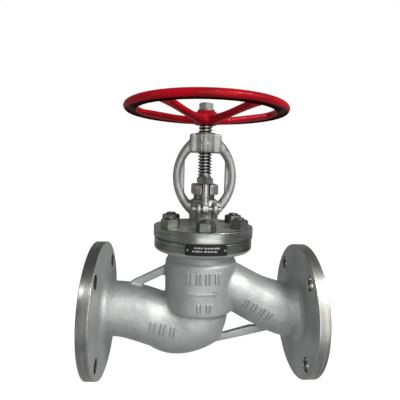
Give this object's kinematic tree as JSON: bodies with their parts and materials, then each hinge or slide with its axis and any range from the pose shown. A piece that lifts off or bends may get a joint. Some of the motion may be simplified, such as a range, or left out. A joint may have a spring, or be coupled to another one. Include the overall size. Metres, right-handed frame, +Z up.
{
  "type": "flanged globe valve",
  "caption": "Cast steel globe valve with flanged ends, bolted bonnet, open yoke, swing bolt gland and rising handwheel on a threaded stem.",
  "frame": {"origin": "where the pipe axis crosses the stem axis, midway between the end faces", "axes": "+X along the pipe from inlet to outlet, +Z up the stem towards the handwheel, -Y towards the nameplate"},
  "size_m": [0.29, 0.21, 0.3587],
  "materials": {
    "cast_steel": "cast stainless steel, bead blasted to a pale matt grey, with bright turned faces",
    "machined_steel": "turned stainless steel",
    "fastener_steel": "dull grey stainless fasteners",
    "yoke_brass": "turned brass",
    "graphite": "pressed graphite, dark and matt",
    "wheel_red": "glossy red enamel over a casting",
    "plate_black": "black printed metal plate with plain pale bars"
  },
  "bodies": {
    "valve": {"body": "cast_steel", "body_neck": "cast_steel", "inlet_branch": "cast_steel", "outlet_branch": "cast_steel", "inlet_flange": "cast_steel", "outlet_flange": "cast_steel", "inlet_rib": "cast_steel", "outlet_rib": "cast_steel", "seat_ring": "machined_steel", "bonnet_gasket": "graphite", "bonnet": "cast_steel", "back_seat_bush": "machined_steel", "bonnet_studs": "fastener_steel", "bonnet_nuts": "fastener_steel", "yoke_nut": "yoke_brass", "yoke_nut_screw": "fastener_steel", "packing_washer": "machined_steel", "packing_rings": "graphite", "gland_bush": "machined_steel", "gland_flange": "cast_steel", "swing_pin_front": "fastener_steel", "swing_pin_rear": "fastener_steel", "split_pins": "fastener_steel", "nameplate": "plate_black", "nameplate_rivets": "fastener_steel"},
    "disc": {"disc": "machined_steel", "disc_nut": "machined_steel"},
    "stem": {"stem": "machined_steel", "handwheel": "wheel_red", "wheel_washer": "fastener_steel", "wheel_nut": "fastener_steel"},
    "swing_front": {"swing_bolt_front": "fastener_steel", "gland_nut_front": "fastener_steel"},
    "swing_rear": {"swing_bolt_rear": "fastener_steel", "gland_nut_rear": "fastener_steel"}
  },
  "joints": [
    {"name": "stem_lift", "type": "slide", "parent": "valve", "child": "disc", "axis": [0, 0, 1], "range_m": [0, 0.0239]},
    {"name": "handwheel_turn", "type": "hinge", "parent": "disc", "child": "stem", "pos_m": [0, 0, 0.261], "axis": [0, 0, 1], "range_deg": [0, 2142]},
    {"name": "swing_bolt_front_swing", "type": "hinge", "parent": "valve", "child": "swing_front", "pos_m": [0, -0.0255, 0.137], "axis": [1, 0, 0], "range_deg": [0, 85]},
    {"name": "swing_bolt_rear_swing", "type": "hinge", "parent": "valve", "child": "swing_rear", "pos_m": [0, 0.0255, 0.137], "axis": [-1, 0, 0], "range_deg": [0, 85]}
  ],
  "couplings": [
    {"joint": "stem_lift", "follows": "handwheel_turn", "m_per_rad": 0.00063662}
  ]
}
